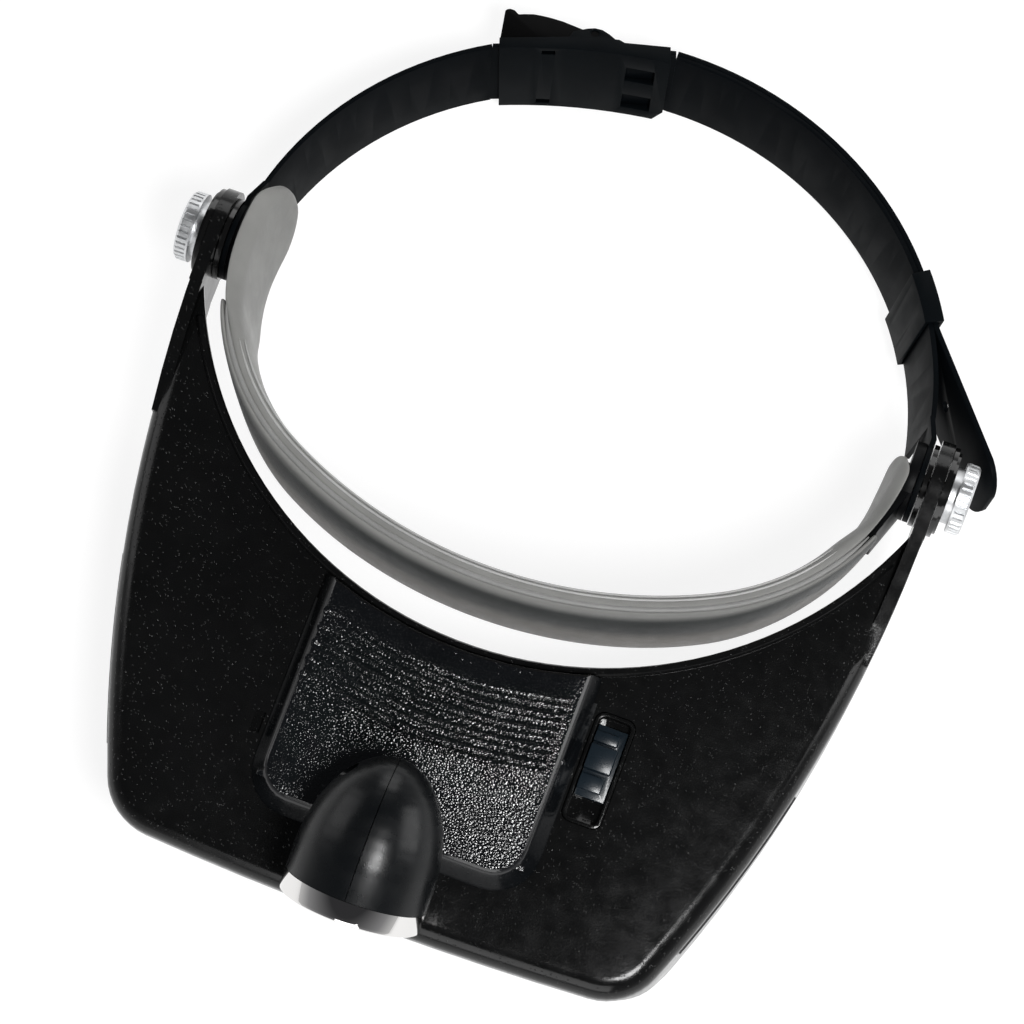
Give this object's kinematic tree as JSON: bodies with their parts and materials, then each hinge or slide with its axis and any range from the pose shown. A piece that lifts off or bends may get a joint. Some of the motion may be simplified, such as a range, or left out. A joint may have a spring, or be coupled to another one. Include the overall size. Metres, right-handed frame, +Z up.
{
  "type": "headband magnifier",
  "caption": "Lighted headband magnifier with a padded band, strap buckle, tilting visor that holds a lens plate, battery bay and tilting lamp.",
  "frame": {"origin": "middle of the bounding box's bottom face, on the surface the part rests on", "axes": "+X to the wearer's right as seen from the lamp side, +Y from the lamp towards the buckle, +Z up"},
  "size_m": [0.2024, 0.2318, 0.0789],
  "materials": {
    "black_band": "satin, moulded",
    "cushion": "soft grained skin over foam",
    "cushion_cover": "soft grained skin over foam",
    "strap": "satin",
    "buckle": "satin",
    "lever": "half gloss",
    "steel": "plain",
    "bolt": "black oxide",
    "washer": "smooth",
    "knob": "knurled, satin",
    "shell": "fine leather grain",
    "frame": "satin",
    "clear": "clear",
    "cell": "sleeve",
    "contact": "nickel plated",
    "lead": "insulated",
    "slider": "gloss",
    "lamp": "satin",
    "ring": "mirror",
    "reflector": "mirror",
    "led": "clear",
    "board": "lacquered"
  },
  "bodies": {
    "headband": {"front_band": "black_band", "forehead_pad": "cushion", "pad_cover": "cushion_cover", "long_strap": "strap", "short_strap": "strap", "buckle_body": "buckle", "lever_pin": "steel", "pivot_bolts": "bolt", "inner_washers": "washer", "outer_washers": "washer"},
    "left_knob": {"left_knob": "knob"},
    "right_knob": {"right_knob": "knob"},
    "buckle_lever": {"buckle_lever": "lever"},
    "keeper": {"strap_keeper": "strap"},
    "visor": {"visor_shell": "shell", "lens_frame": "frame", "lens_plate": "clear", "frame_screws": "steel", "battery_tray": "frame", "tray_screws": "steel", "battery_front": "cell", "battery_rear": "cell", "contact_springs": "contact", "contact_plates": "contact", "switch_housing": "frame", "supply_leads": "lead", "lamp_base": "lamp", "base_screws": "steel"},
    "battery_cover": {"battery_cover": "shell"},
    "switch_slider": {"switch_slider": "slider"},
    "lamp": {"lamp_pin": "steel", "lamp_shell_left": "lamp", "lamp_shell_right": "lamp", "lamp_screws": "steel", "lamp_ring": "ring", "lamp_reflector": "reflector", "lamp_lens": "clear", "lamp_led": "led", "led_board": "board"}
  },
  "joints": [
    {"name": "visor_tilt", "type": "hinge", "parent": "headband", "child": "visor", "pos_m": [-0.00316, 0.0299, 0.03503], "axis": [-1, 0, 0], "range_deg": [-10, 80]},
    {"name": "left_knob_turn", "type": "hinge", "parent": "headband", "child": "left_knob", "pos_m": [-0.10016, 0.0299, 0.03503], "axis": [-1, 0, 0], "range_deg": [0, 360]},
    {"name": "right_knob_turn", "type": "hinge", "parent": "headband", "child": "right_knob", "pos_m": [0.09384, 0.0299, 0.03503], "axis": [1, 0, 0], "range_deg": [0, 360]},
    {"name": "buckle_lever_open", "type": "hinge", "parent": "headband", "child": "buckle_lever", "pos_m": [-0.02735, 0.10878, 0.01116], "axis": [0.0425, -0.3502, -0.9357], "range_deg": [0, 75]},
    {"name": "keeper_slide", "type": "hinge", "parent": "headband", "child": "keeper", "pos_m": [-0.00316, 0.0299, 0.03503], "axis": [0, 0.225, 0.9744], "range_deg": [0, 12]},
    {"name": "cover_slide", "type": "slide", "parent": "visor", "child": "battery_cover", "axis": [0, 1, 0], "range_m": [0, 0.005]},
    {"name": "switch_slide", "type": "slide", "parent": "visor", "child": "switch_slider", "axis": [0, -1, 0], "range_m": [0, 0.004]},
    {"name": "lamp_tilt", "type": "hinge", "parent": "visor", "child": "lamp", "pos_m": [-0.00516, -0.09806, 0.04966], "axis": [-1, 0, 0], "range_deg": [0, 14]}
  ]
}
